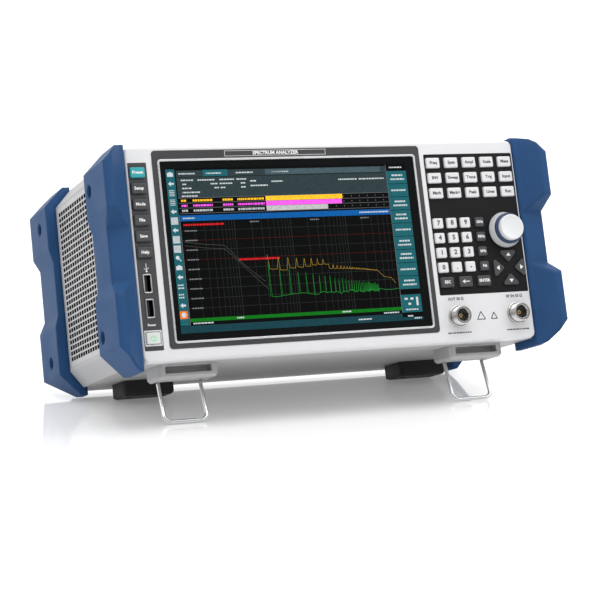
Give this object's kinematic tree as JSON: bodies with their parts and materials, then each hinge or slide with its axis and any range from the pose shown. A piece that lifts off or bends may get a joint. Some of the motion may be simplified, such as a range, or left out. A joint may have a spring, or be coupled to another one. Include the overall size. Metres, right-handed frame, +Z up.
{
  "type": "spectrum analyzer",
  "caption": "Bench spectrum analyzer with a touch display, press keys, tuning knob, coaxial jacks, corner bumpers and fold-out wire bails.",
  "frame": {"origin": "on the floor, under the middle of the bounding box, with the instrument standing on its two bails and the heels of its rear feet", "axes": "+X to the right of a person facing the display, +Y to the back, +Z up; the front leans back 16 degrees"},
  "size_m": [0.405, 0.27, 0.2272],
  "materials": {
    "bezel_white": "fine textured off-white moulding",
    "frame_grey": "satin dark grey",
    "trim_silver": "silver-painted plastic",
    "screen_glass": "black-printed touch glass",
    "module_steel": "plain",
    "overlay_grey": "printed film",
    "overlay_black": "printed film",
    "key_white": "moulded silicone",
    "key_dark": "moulded silicone",
    "key_teal": "moulded silicone",
    "key_power": "satin silver",
    "knob_white": "satin",
    "knob_blue": "satin",
    "port_steel": "plated",
    "jack_nickel": "nickel plated brass",
    "contact_brass": "gold plated",
    "case_grey": "textured powder coat",
    "bumper_blue": "soft-touch elastomer",
    "screw_steel": "plated",
    "foot_grey": "moulded",
    "bail_chrome": "polished wire",
    "inlet_black": "moulded",
    "board_green": "solder mask",
    "module_alloy": "milled"
  },
  "bodies": {
    "chassis": {"bumper_front_left": "bumper_blue", "bumper_front_right": "bumper_blue", "bumper_rear_left": "bumper_blue", "bumper_rear_right": "bumper_blue", "bumper_screws": "screw_steel", "case_screws": "screw_steel", "case_sleeve": "case_grey", "display_frame": "frame_grey", "display_trim": "trim_silver", "fan_frame": "inlet_black", "front_bezel": "bezel_white", "front_feet": "foot_grey", "front_usb_ports": "port_steel", "generator_jack": "jack_nickel", "jack_centres": "contact_brass", "keypad_board": "board_green", "keypad_overlay": "overlay_black", "lcd_module": "module_steel", "left_overlay": "overlay_grey", "main_board": "board_green", "mains_inlet": "inlet_black", "power_key_frame": "trim_silver", "power_supply": "board_green", "rear_bnc_jacks": "jack_nickel", "rear_data_ports": "port_steel", "rear_feet": "foot_grey", "rear_panel": "case_grey", "rf_input_jack": "jack_nickel", "rf_module": "module_alloy", "side_grille_left": "case_grey", "side_grille_right": "case_grey", "touch_glass": "screen_glass"},
    "preset_key": {"preset_key": "key_teal"},
    "system_key": {"system_key": "key_dark"},
    "mode_key": {"mode_key": "key_dark"},
    "file_key": {"file_key": "key_dark"},
    "save_key": {"save_key": "key_dark"},
    "help_key": {"help_key": "key_dark"},
    "power_key": {"power_key": "key_power"},
    "function_key_row_1": {"function_key_row_1": "key_white"},
    "function_key_row_2": {"function_key_row_2": "key_white"},
    "function_key_row_3": {"function_key_row_3": "key_white"},
    "number_key_row_1": {"number_key_row_1": "key_white"},
    "number_key_row_2": {"number_key_row_2": "key_white"},
    "number_key_row_3": {"number_key_row_3": "key_white"},
    "number_key_row_4": {"number_key_row_4": "key_white"},
    "unit_keys": {"unit_keys": "key_dark"},
    "escape_key": {"escape_key": "key_dark"},
    "backspace_key": {"backspace_key": "key_dark"},
    "enter_key": {"enter_key": "key_dark"},
    "right_arrow_key": {"right_arrow_key": "key_dark"},
    "up_arrow_key": {"up_arrow_key": "key_dark"},
    "left_arrow_key": {"left_arrow_key": "key_dark"},
    "down_arrow_key": {"down_arrow_key": "key_dark"},
    "tuning_knob": {"tuning_knob": "knob_white", "knob_skirt": "knob_blue"},
    "bail_left": {"bail_left": "bail_chrome"},
    "bail_right": {"bail_right": "bail_chrome"},
    "fan_rotor": {"fan_rotor": "inlet_black"},
    "mains_rocker": {"mains_rocker": "inlet_black"}
  },
  "joints": [
    {"name": "preset_key_press", "type": "slide", "parent": "chassis", "child": "preset_key", "axis": [0, 0.9613, -0.2756], "range_m": [0, 0.0012], "stiffness_N_per_m": 450, "springref_m": -0.0008},
    {"name": "system_key_press", "type": "slide", "parent": "chassis", "child": "system_key", "axis": [0, 0.9613, -0.2756], "range_m": [0, 0.0012], "stiffness_N_per_m": 450, "springref_m": -0.0008},
    {"name": "mode_key_press", "type": "slide", "parent": "chassis", "child": "mode_key", "axis": [0, 0.9613, -0.2756], "range_m": [0, 0.0012], "stiffness_N_per_m": 450, "springref_m": -0.0008},
    {"name": "file_key_press", "type": "slide", "parent": "chassis", "child": "file_key", "axis": [0, 0.9613, -0.2756], "range_m": [0, 0.0012], "stiffness_N_per_m": 450, "springref_m": -0.0008},
    {"name": "save_key_press", "type": "slide", "parent": "chassis", "child": "save_key", "axis": [0, 0.9613, -0.2756], "range_m": [0, 0.0012], "stiffness_N_per_m": 450, "springref_m": -0.0008},
    {"name": "help_key_press", "type": "slide", "parent": "chassis", "child": "help_key", "axis": [0, 0.9613, -0.2756], "range_m": [0, 0.0012], "stiffness_N_per_m": 450, "springref_m": -0.0008},
    {"name": "power_key_press", "type": "slide", "parent": "chassis", "child": "power_key", "axis": [0, 0.9613, -0.2756], "range_m": [0, 0.0012], "stiffness_N_per_m": 450, "springref_m": -0.0008},
    {"name": "function_key_row_1_press", "type": "slide", "parent": "chassis", "child": "function_key_row_1", "axis": [0, 0.9613, -0.2756], "range_m": [0, 0.0012], "stiffness_N_per_m": 450, "springref_m": -0.0008},
    {"name": "function_key_row_2_press", "type": "slide", "parent": "chassis", "child": "function_key_row_2", "axis": [0, 0.9613, -0.2756], "range_m": [0, 0.0012], "stiffness_N_per_m": 450, "springref_m": -0.0008},
    {"name": "function_key_row_3_press", "type": "slide", "parent": "chassis", "child": "function_key_row_3", "axis": [0, 0.9613, -0.2756], "range_m": [0, 0.0012], "stiffness_N_per_m": 450, "springref_m": -0.0008},
    {"name": "number_key_row_1_press", "type": "slide", "parent": "chassis", "child": "number_key_row_1", "axis": [0, 0.9613, -0.2756], "range_m": [0, 0.0012], "stiffness_N_per_m": 450, "springref_m": -0.0008},
    {"name": "number_key_row_2_press", "type": "slide", "parent": "chassis", "child": "number_key_row_2", "axis": [0, 0.9613, -0.2756], "range_m": [0, 0.0012], "stiffness_N_per_m": 450, "springref_m": -0.0008},
    {"name": "number_key_row_3_press", "type": "slide", "parent": "chassis", "child": "number_key_row_3", "axis": [0, 0.9613, -0.2756], "range_m": [0, 0.0012], "stiffness_N_per_m": 450, "springref_m": -0.0008},
    {"name": "number_key_row_4_press", "type": "slide", "parent": "chassis", "child": "number_key_row_4", "axis": [0, 0.9613, -0.2756], "range_m": [0, 0.0012], "stiffness_N_per_m": 450, "springref_m": -0.0008},
    {"name": "unit_keys_press", "type": "slide", "parent": "chassis", "child": "unit_keys", "axis": [0, 0.9613, -0.2756], "range_m": [0, 0.0012], "stiffness_N_per_m": 450, "springref_m": -0.0008},
    {"name": "escape_key_press", "type": "slide", "parent": "chassis", "child": "escape_key", "axis": [0, 0.9613, -0.2756], "range_m": [0, 0.0012], "stiffness_N_per_m": 450, "springref_m": -0.0008},
    {"name": "backspace_key_press", "type": "slide", "parent": "chassis", "child": "backspace_key", "axis": [0, 0.9613, -0.2756], "range_m": [0, 0.0012], "stiffness_N_per_m": 450, "springref_m": -0.0008},
    {"name": "enter_key_press", "type": "slide", "parent": "chassis", "child": "enter_key", "axis": [0, 0.9613, -0.2756], "range_m": [0, 0.0012], "stiffness_N_per_m": 450, "springref_m": -0.0008},
    {"name": "right_arrow_key_press", "type": "slide", "parent": "chassis", "child": "right_arrow_key", "axis": [0, 0.9613, -0.2756], "range_m": [0, 0.0012], "stiffness_N_per_m": 450, "springref_m": -0.0008},
    {"name": "up_arrow_key_press", "type": "slide", "parent": "chassis", "child": "up_arrow_key", "axis": [0, 0.9613, -0.2756], "range_m": [0, 0.0012], "stiffness_N_per_m": 450, "springref_m": -0.0008},
    {"name": "left_arrow_key_press", "type": "slide", "parent": "chassis", "child": "left_arrow_key", "axis": [0, 0.9613, -0.2756], "range_m": [0, 0.0012], "stiffness_N_per_m": 450, "springref_m": -0.0008},
    {"name": "down_arrow_key_press", "type": "slide", "parent": "chassis", "child": "down_arrow_key", "axis": [0, 0.9613, -0.2756], "range_m": [0, 0.0012], "stiffness_N_per_m": 450, "springref_m": -0.0008},
    {"name": "knob_turn", "type": "hinge", "parent": "chassis", "child": "tuning_knob", "pos_m": [0.1606, -0.09368, 0.14842], "axis": [0, -0.9613, 0.2756], "continuous": true},
    {"name": "bail_left_fold", "type": "hinge", "parent": "chassis", "child": "bail_left", "pos_m": [-0.1328, -0.06999, 0.0351], "axis": [1, 0, 0], "range_deg": [0, 105]},
    {"name": "bail_right_fold", "type": "hinge", "parent": "chassis", "child": "bail_right", "pos_m": [0.1328, -0.06999, 0.0351], "axis": [1, 0, 0], "range_deg": [0, 105]},
    {"name": "fan_spin", "type": "hinge", "parent": "chassis", "child": "fan_rotor", "pos_m": [-0.118, 0.08698, 0.08913], "axis": [0, 0.9613, -0.2756], "continuous": true},
    {"name": "mains_switch_rock", "type": "hinge", "parent": "chassis", "child": "mains_rocker", "pos_m": [0.132, 0.08723, 0.06825], "axis": [1, 0, 0], "range_deg": [0, 18]}
  ]
}
